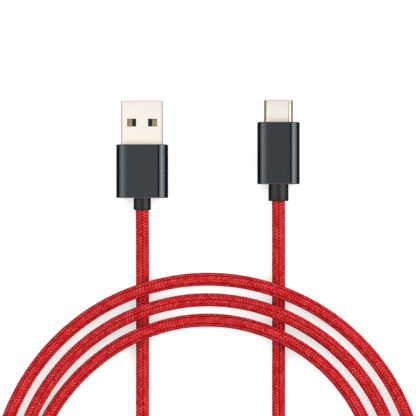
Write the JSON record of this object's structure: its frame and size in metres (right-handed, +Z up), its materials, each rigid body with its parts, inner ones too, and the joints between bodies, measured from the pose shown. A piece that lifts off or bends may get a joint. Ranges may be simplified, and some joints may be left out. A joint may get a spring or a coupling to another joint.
{
  "type": "charging cable",
  "caption": "Coiled braided charging cable with a USB-A plug and a USB-C plug in aluminium housings, side by side on a flat surface.",
  "frame": {"origin": "on the surface the plugs lie on, under the middle of the box around the two plugs", "axes": "+Y the way both plugs point, +X from the USB-A plug to the USB-C plug, +Z up from the surface"},
  "size_m": [0.1277, 0.1783, 0.0074],
  "materials": {
    "plated_steel": "champagne-coloured plating, satin",
    "green_plastic": "moulded, satin",
    "gold_contact": "gold plated, polished",
    "tin_solder": "bright tin",
    "spring_steel": "tinned sheet",
    "red_wire": "extruded",
    "white_wire": "extruded",
    "green_wire": "extruded",
    "black_wire": "extruded",
    "cord_jacket": "extruded, matt",
    "moulded_core": "moulded, slightly waxy",
    "black_plastic": "moulded, matt",
    "anodised_aluminium": "dark grey anodised, fine satin",
    "grey_rubber": "moulded, matt",
    "green_board": "lacquered laminate",
    "red_braid": "woven nylon sleeve"
  },
  "bodies": {
    "root": {"usb_a_shell": "plated_steel", "usb_a_insulator": "green_plastic", "usb_a_contact_vbus": "gold_contact", "usb_a_contact_d_minus": "gold_contact", "usb_a_contact_d_plus": "gold_contact", "usb_a_contact_gnd": "gold_contact", "usb_a_solder_joints": "tin_solder", "usb_a_wire_vbus": "red_wire", "usb_a_wire_d_minus": "white_wire", "usb_a_wire_d_plus": "green_wire", "usb_a_wire_gnd": "black_wire", "usb_a_cord_end": "cord_jacket", "usb_a_crimp_ring": "spring_steel", "usb_a_inner_mould": "moulded_core", "usb_a_front_plate": "black_plastic", "usb_a_housing": "anodised_aluminium", "usb_a_strain_relief": "grey_rubber", "usb_c_shell": "plated_steel", "usb_c_insulator": "black_plastic", "usb_c_contacts_upper": "gold_contact", "usb_c_contacts_lower": "gold_contact", "usb_c_latch_springs": "spring_steel", "usb_c_ground_springs": "spring_steel", "usb_c_board": "green_board", "usb_c_pull_up_resistor": "black_plastic", "usb_c_solder_joints": "tin_solder", "usb_c_wire_vbus": "red_wire", "usb_c_wire_d_minus": "white_wire", "usb_c_wire_d_plus": "green_wire", "usb_c_wire_gnd": "black_wire", "usb_c_rear_shield": "spring_steel", "usb_c_cord_end": "cord_jacket", "usb_c_crimp_ring": "spring_steel", "usb_c_inner_mould": "moulded_core", "usb_c_front_plate": "black_plastic", "usb_c_housing": "anodised_aluminium", "usb_c_strain_relief": "grey_rubber", "cord_tail_usb_a": "red_braid", "cord_coil": "red_braid", "cord_tail_usb_c": "red_braid"}
  },
  "joints": []
}
